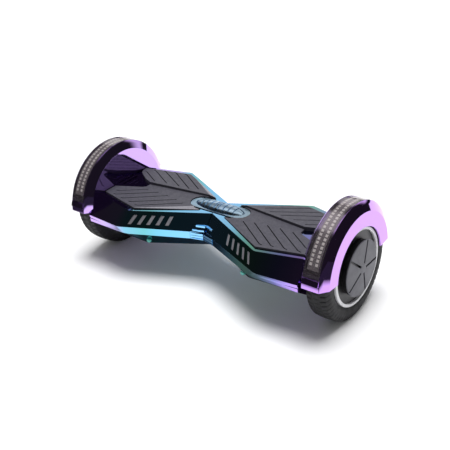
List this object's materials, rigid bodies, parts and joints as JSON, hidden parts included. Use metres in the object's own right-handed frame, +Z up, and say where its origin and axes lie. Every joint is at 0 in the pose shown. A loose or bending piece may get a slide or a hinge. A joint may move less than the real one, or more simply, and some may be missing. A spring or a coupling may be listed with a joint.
{
  "type": "self balancing hoverboard",
  "caption": "Self-balancing board with hub motor wheels under arched fenders, a waisted plated deck in halves that twist on a central pivot, and grooved foot pads.",
  "frame": {"origin": "on the ground under the middle of the board", "axes": "+X along the board to the right wheel, -Y the front, +Z up"},
  "size_m": [0.614, 0.2366, 0.2183],
  "materials": {
    "plated_shell": "mirror plated, blue at the waist to green and violet outwards",
    "plated_fender": "mirror plated, lilac",
    "smoke_lens": "smoked clear",
    "led_board": "matte board with small lamps",
    "foot_rubber": "matte, grooved",
    "tyre_rubber": "matte, treaded",
    "motor_black": "semi-gloss black",
    "cap_grey": "satin grey",
    "ring_white": "gloss white",
    "cast_frame": "cast, matt",
    "steel": "zinc plated",
    "winding": "lacquered copper on steel",
    "circuit": "solder mask",
    "battery_wrap": "heat-shrink wrap",
    "black_plastic": "fine grain",
    "bush_bronze": "sintered",
    "cap_rubber": "soft matte",
    "button_steel": "turned"
  },
  "bodies": {
    "left_half": {"heat_sink": "cast_frame", "left_axle": "steel", "left_axle_clamp": "cast_frame", "left_bottom_shell": "plated_shell", "left_center_cover": "plated_shell", "left_fender": "plated_fender", "left_fender_light_board": "led_board", "left_fender_light_lens": "smoke_lens", "left_frame": "cast_frame", "left_gyro_board": "circuit", "left_headlight_board": "led_board", "left_headlight_lens": "smoke_lens", "left_pad_sensors": "circuit", "left_screws": "steel", "left_stator": "winding", "left_top_shell": "plated_shell", "left_waist_grille": "plated_shell", "main_board": "circuit", "pivot_ring": "steel", "pivot_shaft": "steel", "pivot_sleeve": "steel", "speaker": "black_plastic"},
    "right_half": {"battery_pack": "battery_wrap", "charge_socket": "steel", "pivot_bushes": "bush_bronze", "port_panel": "black_plastic", "right_axle": "steel", "right_axle_clamp": "cast_frame", "right_bottom_shell": "plated_shell", "right_center_cover": "plated_shell", "right_fender": "plated_fender", "right_fender_light_board": "led_board", "right_fender_light_lens": "smoke_lens", "right_frame": "cast_frame", "right_gyro_board": "circuit", "right_headlight_board": "led_board", "right_headlight_lens": "smoke_lens", "right_pad_sensors": "circuit", "right_screws": "steel", "right_stator": "winding", "right_top_shell": "plated_shell", "right_waist_grille": "plated_shell"},
    "left_wheel": {"left_hub_cap": "cap_grey", "left_motor_cover": "motor_black", "left_motor_shell": "motor_black", "left_rim_ring": "ring_white", "left_tyre": "tyre_rubber", "left_wheel_bearings": "steel"},
    "right_wheel": {"right_hub_cap": "cap_grey", "right_motor_cover": "motor_black", "right_motor_shell": "motor_black", "right_rim_ring": "ring_white", "right_tyre": "tyre_rubber", "right_wheel_bearings": "steel"},
    "left_front_pad": {"left_front_pad": "foot_rubber"},
    "left_back_pad": {"left_back_pad": "foot_rubber"},
    "right_front_pad": {"right_front_pad": "foot_rubber"},
    "right_back_pad": {"right_back_pad": "foot_rubber"},
    "power_button": {"power_button": "button_steel"},
    "charge_cap": {"charge_cap": "cap_rubber"}
  },
  "joints": [
    {"name": "center_pivot", "type": "hinge", "parent": "left_half", "child": "right_half", "pos_m": [0, 0, 0.101], "axis": [1, 0, 0], "range_deg": [-12, 12], "stiffness_Nm_per_rad": 8},
    {"name": "left_wheel_spin", "type": "hinge", "parent": "left_half", "child": "left_wheel", "pos_m": [-0.272, 0, 0.101], "axis": [1, 0, 0], "continuous": true},
    {"name": "right_wheel_spin", "type": "hinge", "parent": "right_half", "child": "right_wheel", "pos_m": [0.272, 0, 0.101], "axis": [1, 0, 0], "continuous": true},
    {"name": "left_front_pad_press", "type": "slide", "parent": "left_half", "child": "left_front_pad", "axis": [0, 0, -1], "range_m": [0, 0.002], "stiffness_N_per_m": 3000, "springref_m": -0.002},
    {"name": "left_back_pad_press", "type": "slide", "parent": "left_half", "child": "left_back_pad", "axis": [0, 0, -1], "range_m": [0, 0.002], "stiffness_N_per_m": 3000, "springref_m": -0.002},
    {"name": "right_front_pad_press", "type": "slide", "parent": "right_half", "child": "right_front_pad", "axis": [0, 0, -1], "range_m": [0, 0.002], "stiffness_N_per_m": 3000, "springref_m": -0.002},
    {"name": "right_back_pad_press", "type": "slide", "parent": "right_half", "child": "right_back_pad", "axis": [0, 0, -1], "range_m": [0, 0.002], "stiffness_N_per_m": 3000, "springref_m": -0.002},
    {"name": "power_button_press", "type": "slide", "parent": "right_half", "child": "power_button", "axis": [0, -1, 0], "range_m": [0, 0.0015], "stiffness_N_per_m": 600, "springref_m": -0.002},
    {"name": "charge_cap_hinge", "type": "hinge", "parent": "right_half", "child": "charge_cap", "pos_m": [0.194, 0.1134, 0.1046], "axis": [1, 0, 0], "range_deg": [0, 90]}
  ]
}
